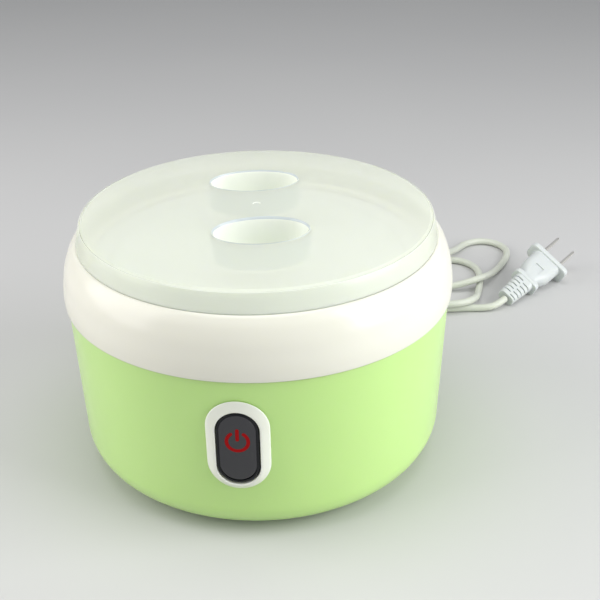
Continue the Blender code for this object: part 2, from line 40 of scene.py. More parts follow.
# Places on the body, in millimetres
WALL_FOOT, WALL_TOP = (84.6, 17.0), (87.2, 80.3)  # (r, z) at the ends of the tapered wall
SCREW_CIRCLE, FOOT_CIRCLE = 56.0, 46.0
GLAND_Z = 15.0
SWITCH_Z = 49.4
FACE_Z = 49.9
SYMBOL_Z = 53.2
BEZEL_SIZE = (26.4, 43.8)  # the switch frame's width and height at the body's wall
MOUTH_SIZE = (18.2, 35.1)  # and at its opening
BEZEL_CREST_Y = -88.0

# The lid: its top's height at the middle and how far it falls by the fold, and its finger wells
LID_TOP_Z, LID_FALL, LID_FOLD_R = 119.6, 3.15, 77.6
LID_THICKNESS = 1.2
POCKET_TURN = math.radians(11.0)
POCKET_OFFSET = 28.6
POCKET_REACH = (21.8, 14.5)  # half-axes of the area that a well's rim and cup take up
# The fourth and fifth looks are painted light: painted shade on the cups' outer walls, and a painted
# dark reflection along the wells' rims.
OUTSIDE, INSIDE, WELL, CUP_PAINTED_SHADE, RIM_PAINTED_REFLECTION = range(5)  # the lid's looks, in the order of its material slots

# The plug and the lead
PIN_SPACING = 12.7
PLUG_FACE = Vector((161.1, 173.3, 11.4))
PLUG_AXIS = Vector((0.6021, 0.7875, 0.1317)).normalized()
PLUG_ROLL = math.radians(31.9)
CORD_R = 2.1

ROUTE = [
    (0, 106.6, 15), (1.2, 119, 12.2), (17, 134.5, 2.9), (40, 133, 2.15), (66, 120.7, 2.2),
    (79.9, 118.8, 3.7), (92.1, 120.2, 6.3), (104.9, 123, 6.9), (111, 129.3, 5.8),
    (115.2, 142.1, 2.3), (118.4, 165.1, 2.15), (114.7, 183.5, 2.15), (105.6, 190.1, 2.15),
    (92, 188.8, 2.15), (68, 182.8, 2.15), (-10, 183.5, 2.15), (-30, 177.1, 2.15),
    (-36.5, 164.1, 2.15), (-30.2, 150.9, 2.15), (-9, 145, 2.15), (70, 148, 2.15),
    (104.6, 150.9, 4.7), (117.4, 156, 6.8), (126.2, 169.7, 3.7), (136.9, 194.6, 2.15),
    (137.9, 210.3, 2.15), (129.3, 219.5, 2.15), (117.2, 219.1, 2.15), (104.6, 202.6, 3.6),
    (95.6, 186.7, 7), (84.5, 170, 5), (65.2, 147, 6.6), (63.5, 137.2, 4.1), (68.1, 128.6, 2.4),
    (78.4, 123.7, 2.15), (110.4, 125.6, 2.15), (123.8, 127.4, 3.1), (130.8, 133.65, 4.75),
]

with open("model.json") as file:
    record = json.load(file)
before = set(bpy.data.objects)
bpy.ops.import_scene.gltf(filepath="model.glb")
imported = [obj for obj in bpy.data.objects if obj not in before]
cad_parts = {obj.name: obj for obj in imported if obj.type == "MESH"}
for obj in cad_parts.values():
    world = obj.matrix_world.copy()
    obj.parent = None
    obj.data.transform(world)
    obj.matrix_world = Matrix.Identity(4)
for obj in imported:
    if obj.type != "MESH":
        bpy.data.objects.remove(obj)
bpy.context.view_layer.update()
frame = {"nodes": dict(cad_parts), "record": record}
NODES = frame["nodes"]


# Camera

def make_camera():
    turn, pitch = CAMERA_TURN, CAMERA_PITCH
    target = Matrix.Rotation(turn, 4, "Z") @ (CAMERA_AIM * MM)
    data = bpy.data.cameras.new("camera")
    data.sensor_width = 36.0
    data.lens = CAMERA_LENS
    data.clip_start = 0.01
    camera = bpy.data.objects.new("camera", data)
    bpy.context.scene.collection.objects.link(camera)
    back = Vector((
        math.sin(turn) * math.cos(pitch), -math.cos(turn) * math.cos(pitch), math.sin(pitch),
    ))
    upright = (-back).to_track_quat("-Z", "Y").to_matrix().to_4x4()
    rotation = upright @ Matrix.Rotation(-CAMERA_ROLL, 4, "Z")
    camera.matrix_world = Matrix.Translation(target + back * (CAMERA_DISTANCE * MM)) @ rotation
    bpy.context.scene.camera = camera


make_camera()


# Node materials

COLOUR_A, COLOUR_B, COLOUR_OUT = 6, 7, 2  # a Mix node's colour sockets: their names aren't unique
GRAIN_DEPTH = 0.00003  # relief of a moulded or worked surface, in metres
PLASTIC_IOR = 1.49


def material(name):
    made = bpy.data.materials.new(name)
    made.use_nodes = True
    tree = made.node_tree
    return made, tree, tree.nodes["Principled BSDF"]


def node(tree, kind, **values):
    made = tree.nodes.new(kind)
    for key, value in values.items():
        if key in made.inputs:
            made.inputs[key].default_value = value
        else:
            setattr(made, key, value)
    return made


def noise(tree, scale, detail=3.0, stretch=(1, 1, 1)):
    place = node(tree, "ShaderNodeTexCoord")
    mapping = node(tree, "ShaderNodeMapping")
    mapping.inputs["Scale"].default_value = stretch
    made = node(tree, "ShaderNodeTexNoise", Scale=scale, Detail=detail, Roughness=0.55)
    tree.links.new(place.outputs["Object"], mapping.inputs["Vector"])
    tree.links.new(mapping.outputs["Vector"], made.inputs["Vector"])
    return made


def vary_colour(tree, shader, low, high, scale, stretch=(1, 1, 1)):
    mix = node(tree, "ShaderNodeMix", data_type="RGBA")
    for socket, colour in ((COLOUR_A, low), (COLOUR_B, high)):
        mix.inputs[socket].default_value = (*colour, 1)
    tree.links.new(noise(tree, scale, 2.0, stretch).outputs["Fac"], mix.inputs["Factor"])
    tree.links.new(mix.outputs[COLOUR_OUT], shader.inputs["Base Color"])


def vary_roughness(tree, shader, low, high, scale, stretch=(1, 1, 1)):
    spread = node(tree, "ShaderNodeMapRange")
    spread.inputs["From Min"].default_value = 0.3
    spread.inputs["From Max"].default_value = 0.7
    spread.inputs["To Min"].default_value = low
    spread.inputs["To Max"].default_value = high
    tree.links.new(noise(tree, scale, 4.0, stretch).outputs["Fac"], spread.inputs["Value"])
    tree.links.new(spread.outputs["Result"], shader.inputs["Roughness"])


def add_bump(tree, shader, scale, strength, stretch=(1, 1, 1)):
    bump = node(tree, "ShaderNodeBump", Strength=strength, Distance=GRAIN_DEPTH)
    tree.links.new(noise(tree, scale, 3.0, stretch).outputs["Fac"], bump.inputs["Height"])
    tree.links.new(bump.outputs["Normal"], shader.inputs["Normal"])


def plastic(
    name, colour, roughness=(0.2, 0.26), tint=0.03, bump=0.12, grain=900.0, soft=0.0, depth=0.003,
    shine=0.5,
):
    """Moulded plastic: a faint tint drift, a slightly uneven gloss and a fine moulding texture."""
    made, tree, shader = material(name)
    low = tuple(c * (1 - tint) for c in colour)
    high = tuple(min(1.0, c * (1 + tint)) for c in colour)
    vary_colour(tree, shader, low, high, 14.0)
    vary_roughness(tree, shader, roughness[0], roughness[1], 45.0)
    add_bump(tree, shader, grain, bump)
    shader.inputs["IOR"].default_value = PLASTIC_IOR
    shader.inputs["Specular IOR Level"].default_value = shine
    if soft:
        shader.inputs["Subsurface Weight"].default_value = soft
        shader.inputs["Subsurface Radius"].default_value = (1.0, 1.0, 0.8)
        shader.inputs["Subsurface Scale"].default_value = depth
    return made


def metal(name, colour, roughness=(0.17, 0.26), stretch=(1, 1, 40), grain=60.0, bump=0.08):
    """Worked metal: fine lines along the working direction, in gloss and in relief."""
    made, tree, shader = material(name)
    shader.inputs["Metallic"].default_value = 1.0
    vary_colour(tree, shader, tuple(c * 0.94 for c in colour), colour, grain, stretch)
    vary_roughness(tree, shader, roughness[0], roughness[1], grain * 3, stretch)
    add_bump(tree, shader, grain * 5, bump, stretch)
    return made


def lid_plastic(name, alpha, depth=0.0015):
    """Milky polypropylene: it lets some light through and scatters the rest."""
    made, tree, shader = material(name)
    vary_colour(tree, shader, (0.86, 0.92, 0.775), (0.89, 0.94, 0.805), 9.0)
    vary_roughness(tree, shader, 0.19, 0.25, 30.0)
    add_bump(tree, shader, 700.0, 0.08)
    shader.inputs["IOR"].default_value = PLASTIC_IOR
    shader.inputs["Alpha"].default_value = alpha
    shader.inputs["Subsurface Weight"].default_value = 1.0
    shader.inputs["Subsurface Radius"].default_value = (1.0, 1.0, 0.9)
    shader.inputs["Subsurface Scale"].default_value = depth
    return made


MATERIALS = {
    "green_gloss": plastic(
        "lime_shell", (0.52, 0.77, 0.27), (0.19, 0.25), 0.02, 0.1, 800.0, 0.5, 0.004,
    ),
    "cream_gloss": plastic(
        "warm_white_collar", (0.77, 0.765, 0.67), (0.2, 0.26), 0.015, 0.08, 800.0, 0.4, 0.003,
    ),
    "pale_mint_gloss": lid_plastic("milky_lid", 0.62),
    "lid_inside": lid_plastic("milky_lid_inside", 0.15),
    "lid_well": lid_plastic("milky_lid_well", 1.0, 0.004),
    # Painted shade: the cups' outer walls are coloured a dark blue-green so they show darker through
    # the milky lid.
    "lid_cup_painted_shade": plastic("milky_lid_cup_painted_shade", (0.37, 0.49, 0.49), (0.3, 0.38), 0.02, 0.1, 700.0),
    # Painted dark reflection: the wells' rounded rims and beads are coloured grey-blue to make a
    # thin dark line.
    "lid_rim_painted_reflection": plastic("milky_lid_rim_painted_reflection", (0.52, 0.57, 0.59), (0.19, 0.25), 0.02, 0.08, 700.0),
    "inner_plastic": plastic("chamber_plastic", (0.74, 0.76, 0.76), (0.3, 0.4), 0.02, 0.2, 1100.0),
    "frosted_lid": plastic(
        "frosted_plastic", (0.78, 0.82, 0.80), (0.35, 0.45), 0.02, 0.25, 1300.0, 0.5, 0.003,
    ),
    "silicone_seal": plastic(
        "seal_silicone", (0.82, 0.84, 0.83), (0.5, 0.6), 0.03, 0.3, 900.0, 0.6, 0.002,
    ),
    "pot_steel": metal("brushed_pot", (0.66, 0.66, 0.65)),
    "bezel_white": plastic(
        "white_bezel", (0.79, 0.81, 0.715), (0.16, 0.22), 0.01, 0.08, 900.0, 0.3, 0.002,
    ),
    "button_black": plastic(
        "black_cap", (0.003, 0.004, 0.006), (0.34, 0.42), 0.1, 0.1, 1200.0, shine=0.3,
    ),
    "panel_grey": plastic(
        "grey_face", (0.044, 0.044, 0.048), (0.36, 0.44), 0.08, 0.35, 2600.0, shine=0.3,
    ),
    "symbol_red": plastic(
        "red_symbol", (0.31, 0.002, 0.003), (0.36, 0.42), 0.08, 0.1, 1500.0, shine=0.1,
    ),
    "switch_black": plastic("switch_case", (0.02, 0.02, 0.022), (0.35, 0.5), 0.1, 0.3, 1500.0),
    "led_red": plastic("led_lens", (0.5, 0.01, 0.01), (0.08, 0.14), 0.05, 0.05, 900.0, 0.3, 0.001),
    "fitting_plastic": plastic("fitting", (0.68, 0.68, 0.65), (0.38, 0.5), 0.03, 0.3, 1400.0),
    "cover_plastic": plastic("cover_grained", (0.78, 0.78, 0.73), (0.42, 0.55), 0.02, 0.5, 1500.0),
    "foot_rubber": plastic("rubber_foot", (0.02, 0.02, 0.02), (0.65, 0.8), 0.15, 0.5, 1500.0),
    "screw_steel": metal("zinc_plated", (0.58, 0.58, 0.56), (0.29, 0.42), (1, 1, 1), 400.0),
    "spreader_aluminium": metal(
        "mill_aluminium", (0.72, 0.73, 0.74), (0.3, 0.42), (1, 30, 1), 80.0,
    ),
    "heater_ceramic": plastic("heater_film", (0.62, 0.38, 0.10), (0.29, 0.42), 0.1, 0.3, 500.0),
    "fuse_case": plastic("fuse_ceramic", (0.82, 0.79, 0.72), (0.4, 0.55), 0.05, 0.3, 1200.0),
    "lead_sheath": plastic(
        "cord_pvc", (0.565, 0.59, 0.515), (0.34, 0.44), 0.04, 0.25, 900.0, 0.3, 0.002,
    ),
    "wire_brown": plastic("brown_wire", (0.18, 0.07, 0.03), (0.35, 0.5), 0.1, 0.2, 1200.0),
    "wire_blue": plastic("blue_wire", (0.04, 0.12, 0.42), (0.35, 0.5), 0.1, 0.2, 1200.0),
    "plug_white": plastic(
        "plug_pvc", (0.575, 0.605, 0.60), (0.3, 0.4), 0.02, 0.25, 1200.0, 0.3, 0.002,
    ),
    "pin_metal": metal("nickel_pin", (0.90, 0.88, 0.82), (0.29, 0.36), (1, 1, 1), 300.0),
}
SLOTS = {row["node"]: row["material_slot"] for row in frame["record"]["subparts"]}


# Mesh helpers, in millimetres

def shade(mesh, angle):
    """Shade smooth, apart from edges that turn by more than the angle in degrees."""
    mesh.shade_smooth()
    mesh.set_sharp_from_angle(angle=math.radians(angle))


def put(name, bm, slot=None, body=None, *nodes, angle=30):
    """Make a piece of the mesh, with its look, on its body and in place of its CAD nodes.

    A piece without a look and a body is a helper that carve() uses up, or the floor.
    """
    bmesh.ops.recalc_face_normals(bm, faces=bm.faces)
    mesh = bpy.data.meshes.new(name)
    bm.to_mesh(mesh)
    bm.free()
    shade(mesh, angle)
    obj = bpy.data.objects.new(name, mesh)
    bpy.context.scene.collection.objects.link(obj)
    if body:
        mesh.materials.append(MATERIALS[slot])
        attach(obj, body)
        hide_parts(*nodes)
    return obj


def rounded_outline(corners, steps=5):
    """The (r, z) outline with each corner that names a third value rounded by that radius."""
    points = []
    count = len(corners)
    for i, corner in enumerate(corners):
        here = Vector(corner[:2])
        if len(corner) < 3:
            points.append(tuple(here))
            continue
        before = Vector(corners[i - 1][:2]) - here
        after = Vector(corners[(i + 1) % count][:2]) - here
        half = before.angle(after) / 2
        run = min(corner[2] / math.tan(half), 0.49 * before.length, 0.49 * after.length)
        radius = run * math.tan(half)
        inwards = (before.normalized() + after.normalized()).normalized()
        centre = here + inwards * (radius / math.sin(half))
        start = here + before.normalized() * run - centre
        end = here + after.normalized() * run - centre
        sweep = start.angle_signed(end)
        for k in range(steps + 1):
            turn = -sweep * k / steps
            spot = Matrix.Rotation(turn, 2) @ start
            points.append(tuple(centre + spot))
    return points


def add_lathe(bm, outline, sides=FINE, place=None):
    """Spin the (r, z) outline round the Z axis, closed unless both its ends lie on the axis."""
    verts = [bm.verts.new((r * MM, 0.0, z * MM)) for r, z in outline]
    edges = [bm.edges.new(pair) for pair in zip(verts, verts[1:])]
    if outline[0][0] > 0 or outline[-1][0] > 0:
        edges.append(bm.edges.new((verts[-1], verts[0])))
    bmesh.ops.spin(
        bm, geom=verts + edges, cent=(0, 0, 0), axis=(0, 0, 1), angle=math.tau,
        steps=sides, use_merge=True, use_duplicate=False,
    )
    bmesh.ops.remove_doubles(bm, verts=bm.verts, dist=1e-7)
    if place is not None:
        bmesh.ops.transform(bm, matrix=place, verts=bm.verts)


def lathe(name, outline, slot=None, body=None, *nodes, sides=FINE, place=None, angle=30):
    bm = bmesh.new()
    add_lathe(bm, outline, sides, place)
    return put(name, bm, slot, body, *nodes, angle=angle)


def add_loft(bm, rings, loop=False):
    """Skin rings of equal length, capped at both ends or, as a loop, joined last to first."""
    made = [[bm.verts.new(Vector(p) * MM) for p in ring] for ring in rings]
    pairs = list(zip(made, made[1:]))
    if loop:
        pairs.append((made[-1], made[0]))
    else:
        bm.faces.new(made[0])
        bm.faces.new(made[-1])
    for low, high in pairs:
        for i in range(len(low)):
            j = (i + 1) % len(low)
            bm.faces.new((low[i], low[j], high[j], high[i]))


def add_column(bm, spot, radius, low, high, sides=32):
    """Add an upright cylinder round the (x, y) spot."""
    turns = [math.tau * i / sides for i in range(sides)]
    ring = [(spot[0] + radius * math.cos(t), spot[1] + radius * math.sin(t)) for t in turns]
    add_loft(bm, [[(x, y, z) for x, y in ring] for z in (low, high)])


def loft(name, rings, slot=None, body=None, *nodes, loop=False, angle=30):
    bm = bmesh.new()
    add_loft(bm, rings, loop)
    return put(name, bm, slot, body, *nodes, angle=angle)


def carve(obj, steps, angle=30):
    """Apply Booleans (operation, helper) to the piece, drop the helpers and reshade it."""
    for operation, other in steps:
        modifier = obj.modifiers.new(other.name, "BOOLEAN")
        modifier.operation = operation
        modifier.solver = "EXACT"
        modifier.object = other
    graph = bpy.context.evaluated_depsgraph_get()
    mesh = bpy.data.meshes.new_from_object(obj.evaluated_get(graph))
    old = obj.data
    obj.modifiers.clear()
    obj.data = mesh
    bpy.data.meshes.remove(old)
    for _, other in steps:
        bpy.data.objects.remove(other, do_unlink=True)
    bm = bmesh.new()
    bm.from_mesh(mesh)
    bmesh.ops.remove_doubles(bm, verts=bm.verts, dist=2e-6)  # the Booleans' sliver faces
    bmesh.ops.dissolve_degenerate(bm, dist=1e-6, edges=bm.edges)
    bm.to_mesh(mesh)
    bm.free()
    shade(mesh, angle)
    return obj


def arc(centre, radius, start, end, steps):
    """Points on an arc between two angles in degrees."""
    turns = [math.radians(start + (end - start) * i / steps) for i in range(steps + 1)]
    return [(centre[0] + radius * math.cos(t), centre[1] + radius * math.sin(t)) for t in turns]


def spline(points, spacing):
    """A natural cubic spline through the points, read at even steps of about the spacing."""
    p = np.array(points, float)
    knots = np.r_[0, np.cumsum(np.linalg.norm(np.diff(p, axis=0), axis=1))]
    h = np.diff(knots)
    n = len(p)
    a = np.eye(n)
    b = np.zeros((n, p.shape[1]))
    for i in range(1, n - 1):
        a[i, i - 1:i + 2] = (h[i - 1], 2 * (h[i - 1] + h[i]), h[i])
        b[i] = 6 * ((p[i + 1] - p[i]) / h[i] - (p[i] - p[i - 1]) / h[i - 1])
    m = np.linalg.solve(a, b)
    fine = []
    for i in range(n - 1):
        u = (knots[i + 1] - np.linspace(knots[i], knots[i + 1], 24))[:, None]
        v = h[i] - u
        bend = (m[i] * u**3 + m[i + 1] * v**3) / (6 * h[i])
        line = (p[i] / h[i] - m[i] * h[i] / 6) * u + (p[i + 1] / h[i] - m[i + 1] * h[i] / 6) * v
        fine.append(bend + line)
    fine = np.vstack(fine)
    along = np.r_[0, np.cumsum(np.linalg.norm(np.diff(fine, axis=0), axis=1))]
    steps = np.linspace(0, along[-1], max(2, round(along[-1] / spacing) + 1))
    return np.column_stack([np.interp(steps, along, fine[:, k]) for k in range(p.shape[1])])


def along_y(z):
    """Where a lathed piece goes to point backwards (+Y) at a height."""
    return Matrix.Translation((0, 0, z * MM)) @ Matrix.Rotation(math.radians(-90), 4, "X")


def around(radius, first, count=4):
    """Evenly spaced (x, y) spots on a circle, the first at an angle in degrees."""
    turns = [math.radians(first + 360 * i / count) for i in range(count)]
    return [(radius * math.cos(t), radius * math.sin(t)) for t in turns]


# Round casings

def wall_r(z):
    """Radius of the shell's tapered wall at a height."""
    (foot_r, foot_z), (top_r, top_z) = WALL_FOOT, WALL_TOP
    return foot_r + (top_r - foot_r) * (z - foot_z) / (top_z - foot_z)


def slot_points(width, height, steps=26):
    """The (x, z) outline of an upright slot with round ends."""
    radius, lift = width / 2, (height - width) / 2
    points = []
    for side, shift in ((0.0, lift), (math.pi, -lift)):
        for i in range(steps + 1):
            turn = side + math.pi * i / steps
            points.append((radius * math.cos(turn), shift + radius * math.sin(turn)))
    return points


def slot_ring(width, height, y, centre_z=SWITCH_Z):
    return [(x, y, centre_z + z) for x, z in slot_points(width, height)]


def body_shell():
    corner = (68.4, 17.7)
    outline = [(62.3, 1.5)] + arc(corner, 16.2, -90, -2.45, 22)
    outline += [
        (86.95, 80.05), (87.08, 80.25), (86.9, 80.3), (85.5, 80.3), (85.4, 89.7), (85.1, 90.0),
        (83.9, 90.0), (83.6, 89.7), (83.6, 78.0),
    ]
    outline += arc(corner, 14.0, -2.45, -56, 10)
    outline += [(53.0, 6.1), (53.0, 3.9), (62.0, 3.9), (62.0, 1.8)]
    shell = lathe("body_shell_visual", outline, "green_gloss", "base", "outer_shell")
    bosses, holes = bmesh.new(), bmesh.new()
    for spot in around(SCREW_CIRCLE, 45):
        add_column(bosses, spot, 3.4, 4.3, 11.5, 24)
        add_column(holes, spot, 1.6, 2.5, 11.0, 20)
    opening = [slot_ring(22.4, 39.8, y) for y in (-95.0, -76.0)]
    rear = [(0, 76), (4.2, 76), (4.2, 92), (0, 92)]
    carve(shell, [
        ("UNION", put("boss_add", bosses)),
        ("DIFFERENCE", put("hole_cut", holes)),
        ("DIFFERENCE", loft("opening_cut", opening)),
        ("DIFFERENCE", lathe("rear_cut", rear, sides=32, place=along_y(GLAND_Z))),
    ])


def collar():
    outer = [
        (88.15, 81.4), (88.35, 84.5), (88.2, 88.5), (87.6, 92.5), (86.7, 97.0), (85.3, 101.0),
        (83.9, 104.0), (82.5, 106.0),
    ]
    outline = [(86.1, 80.8), (87.7, 80.8), (88.0, 81.0)]
    outline += [tuple(p) for p in spline(outer, 1.1)]
    outline += [
        (82.0, 106.6), (81.5, 106.97), (81.2, 107.12), (80.95, 107.18), (80.7, 107.12),
        (80.5, 106.9), (80.5, 100.3), (80.2, 100.0), (75.3, 100.0), (75.0, 99.7), (75.0, 97.8),
        (82.9, 97.8), (85.6, 92.0), (85.75, 81.1),
    ]
    lathe("collar_visual", outline, "cream_gloss", "base", "collar_ring", angle=40)


def pocket_slide(side):
    """How far the middle of the back (1) or front (-1) well lies along its length."""
    return 0.3 + 0.8 * side


def pocket_ring(a, b, z, side, sides=80):
    """An oval of the well on a side, with half-axes a and b, at height z."""
    points = []
    for i in range(sides):
        t = math.tau * i / sides
        u, v = pocket_slide(side) + a * math.cos(t), side * POCKET_OFFSET + b * math.sin(t)
        x = u * math.cos(POCKET_TURN) - v * math.sin(POCKET_TURN)
        points.append((x, u * math.sin(POCKET_TURN) + v * math.cos(POCKET_TURN), z))
    return points


def lid_face_look(spot, normal):
    """Which of the lid's looks a face takes, from its middle in millimetres and its normal. The
    cups' outer walls take the painted shade look and the wells' rounded rims the painted dark
    reflection look.
    """
    r = spot.xy.length
    sloping = normal.z < 0.97
    if r > 77.4 and spot.z < 118:  # the wall below the fold
        return INSIDE if normal.xy.dot(spot.xy) < -0.3 * r else OUTSIDE
    if r < 2.2 and spot.z > 119 and sloping:  # the dimple's wall
        return WELL
    reach_x, reach_y = POCKET_REACH
    for side in (-1, 1):
        middle = Vector((pocket_slide(side), side * POCKET_OFFSET))
        centre = Matrix.Rotation(POCKET_TURN, 2) @ middle
        away = Matrix.Rotation(-POCKET_TURN, 2) @ (spot.xy - centre)
        if (away.x / reach_x) ** 2 + (away.y / reach_y) ** 2 >= 1:
            continue
        if spot.z > 118.7:  # the well's rounded edge and the bead round it, whose sloping faces take the painted dark reflection look
            return RIM_PAINTED_REFLECTION if sloping else OUTSIDE
        facing = Matrix.Rotation(-POCKET_TURN, 2) @ normal.xy
        outward = facing.x * away.x / reach_x**2 + facing.y * away.y / reach_y**2
        # Painted shade on the cup's outer wall; below 106.8 mm the cup's bottom keeps the plain well
        # look.
        return CUP_PAINTED_SHADE if outward > 0 and spot.z > 106.8 else WELL
    return INSIDE if normal.z < -0.3 else OUTSIDE


def lid_top(r):
    """Height of the lid's top face at a radius: nearly flat, falling a little towards the fold."""
    return LID_TOP_Z - LID_FALL * (r / LID_FOLD_R) ** 3.5


def lid_outline():
    """The lid's (r, z) outline without its wells: the inside, the wall and then the top."""
    inside = [(0, LID_TOP_Z - LID_THICKNESS)]
    inside += [(r, lid_top(r) - LID_THICKNESS) for r in (25, 45, 56, 64, 70, 74)]
    inside += [
        (76.2, 115.2), (77.3, 114.3), (78.0, 113.0), (78.5, 111.4), (78.8, 109.6), (78.8, 108.0),
        (78.5, 107.2), (78.5, 100.7), (78.8, 100.4),
    ]
    rim = [
        (79.6, 100.4), (79.9, 100.7), (79.9, 106.6), (80.1, 107.1), (80.45, 107.28),
        (80.72, 107.34),
    ]
    wall = [
        (80.8, 107.5), (80.72, 108.1), (80.5, 109.2), (80.25, 110.5), (80.0, 111.8), (79.7, 113.1),
        (79.35, 114.4), (79.12, 115.05),
    ]
    fold = [
        (79.02, 115.35), (78.98, 115.62), (78.86, 115.82), (78.68, 115.92), (78.48, 115.92),
        (78.32, 115.85), (78.1, 115.9),
    ]
    top = [(r, lid_top(r)) for r in (77.2, 76, 74.2, 72, 69, 65, 60, 54, 47, 39, 30, 20, 10, 0)]
    return inside + rim + [tuple(p) for p in spline(wall, 0.7)] + fold + top


def lid_wells():
    """Helpers for the lid: the wells' cups and beads, which are added, and the wells to cut."""
    cups, beads, wells = bmesh.new(), bmesh.new(), bmesh.new()
    cup = [
        (18.5, 11.3, 105.1), (19.7, 12.5, 105.3), (20.3, 13.1, 105.9), (20.6, 13.4, 106.8),
        (21.4, 14.1, 118.5),
    ]
    bead = [(20.6, 13.3, -0.4), (20.8, 13.5, 0.17), (21.1, 13.8, 0.17), (21.35, 14.05, -0.4)]
    well = [
        (17.7, 10.5, 106.3), (18.7, 11.5, 106.45), (19.25, 12.05, 106.9), (19.45, 12.25, 107.6),
        (20.22, 12.92, 118.2), (20.32, 13.02, 118.75), (20.5, 13.2, 119.15), (20.8, 13.5, 119.5),
        (21.6, 14.3, 120.4),
    ]
    for side in (-1, 1):
        add_loft(beads, [
            [(x, y, lid_top(math.hypot(x, y)) + rise) for x, y, _ in pocket_ring(a, b, 0, side)]
            for a, b, rise in bead
        ], loop=True)
        add_loft(cups, [pocket_ring(a, b, z, side) for a, b, z in cup])
        add_loft(wells, [pocket_ring(a, b, z, side) for a, b, z in well])
    return [
        ("UNION", put("cup_add", cups)),
        ("UNION", put("bead_add", beads)),
        ("DIFFERENCE", put("well_cut", wells)),
    ]


def outer_lid():
    lid = lathe(
        "outer_lid_visual", lid_outline(), "pale_mint_gloss", "outer_lid", "outer_lid", angle=26,
    )
    dimple = [(0, 119.3), (1.5, 119.3), (2.0, 119.72), (2.0, 121.0), (0, 121.0)]
    carve(lid, [("DIFFERENCE", lathe("dimple_cut", dimple, sides=40))] + lid_wells(), 26)
    # These include the looks with painted shade for the cups and a painted dark reflection for the
    # rims.
    for look in ("lid_inside", "lid_well", "lid_cup_painted_shade", "lid_rim_painted_reflection"):
        lid.data.materials.append(MATERIALS[look])
    for face in lid.data.polygons:
        face.material_index = lid_face_look(face.center / MM, face.normal)


# Inner pot, chamber and pot lid

def chamber():
    outline = rounded_outline([
        (65.0, 18.0), (68.0, 21.0, 1.0), (68.0, 95.3, 0.6), (82.4, 95.3, 0.4), (82.4, 97.5, 0.5),
        (66.2, 97.5, 0.9), (66.2, 21.8, 2.0), (64.2, 20.0, 1.0),
    ])
    outline = [(0, 18.0)] + outline + [(0, 20.0)]
    made = lathe("chamber_visual", outline, "inner_plastic", "base", "heating_chamber")
    bosses, holes = bmesh.new(), bmesh.new()
    for x in (-41.0, 41.0):
        add_column(bosses, (x, 0.0), 3.2, 12.0, 18.9, 24)
        add_column(holes, (x, 0.0), 1.3, 10.0, 17.5, 24)
    carve(made, [("UNION", put("boss_add", bosses)), ("DIFFERENCE", put("hole_cut", holes))])


def inner_pot():
    outline = rounded_outline([
        (57.0, 20.6), (62.6, 20.6, 5.0), (62.6, 91.0, 0.5), (65.0, 91.3, 0.5), (65.0, 92.3, 0.4),
        (61.8, 92.3, 0.5), (61.8, 21.4, 4.3),
    ], 8)
    lathe("pot_visual", [(0, 20.6)] + outline + [(0, 21.4)], "pot_steel", "pot", "inner_pot")


def pot_lid():
    outline = rounded_outline([
        (8.4, 103.8, 1.2), (10.5, 102.6, 1.2), (10.2, 101.2, 0.8), (8.9, 98.6, 1.0),
        (12.0, 96.6, 2.0), (56.0, 96.2, 4.0), (65.9, 97.0, 0.6), (65.9, 93.6, 0.4), (64.8, 93.5),
        (61.2, 93.5, 0.3), (61.2, 88.5, 0.3), (59.8, 88.5, 0.3), (59.8, 93.6, 0.6),
        (12.0, 94.2, 1.0),
    ])
    outline = [(0, 103.8)] + outline + [(0, 94.2)]
    lathe("pot_lid_visual", outline, "frosted_lid", "pot_lid", "pot_lid")
    seal = rounded_outline(
        [(61.9, 92.6, 0.25), (64.8, 92.6, 0.25), (64.8, 93.2, 0.25), (61.9, 93.2, 0.25)], 4,
    )
    lathe("seal_visual", seal, "silicone_seal", "pot_lid", "pot_lid_seal")


# Base: cover, feet, screws and the lead's gland

def base_cover():
    cover = lathe(
        "base_cover_visual", [(0, 1.7), (61.1, 1.7), (61.6, 2.1), (61.6, 3.6), (0, 3.6)],
        "cover_plastic", "base", "base_cover",
    )
    posts, cuts = bmesh.new(), bmesh.new()
    for x in (-8.0, 8.0):  # the posts of the lead's clamp, and between them its saddle
        add_column(posts, (x, 44.0), 3.0, 2.6, 9.6)
        add_column(cuts, (x, 44.0), 1.4, 4.3, 12.0)
    saddle = ((-3, 40), (3, 40), (3, 48), (-3, 48))
    add_loft(posts, [[(x, y, z) for x, y in saddle] for z in (2.6, 7.35)])
    for circle, radius in ((SCREW_CIRCLE, 1.8), (FOOT_CIRCLE, 2.3)):
        for spot in around(circle, 45):
            add_column(cuts, spot, radius, 0.5, 5.0)
    carve(cover, [("UNION", put("post_add", posts)), ("DIFFERENCE", put("cover_cut", cuts))])


def feet():
    outline = rounded_outline([
        (5.4, 0, 0.3), (6.0, 0.5, 0.4), (6.0, 1.4, 0.2), (2.0, 1.4, 0.2), (2.0, 3.9, 0.1),
        (2.6, 4.3, 0.2), (2.0, 5.4, 0.3),
    ], 4)
    outline = [(0, 0)] + outline + [(0, 5.4)]
    for i, (x, y) in enumerate(around(FOOT_CIRCLE, 45), 1):
        lathe(
            f"foot_{i}_visual", outline, "foot_rubber", "base", f"foot_{i}", sides=48,
            place=Matrix.Translation((x * MM, y * MM, 0)),
        )


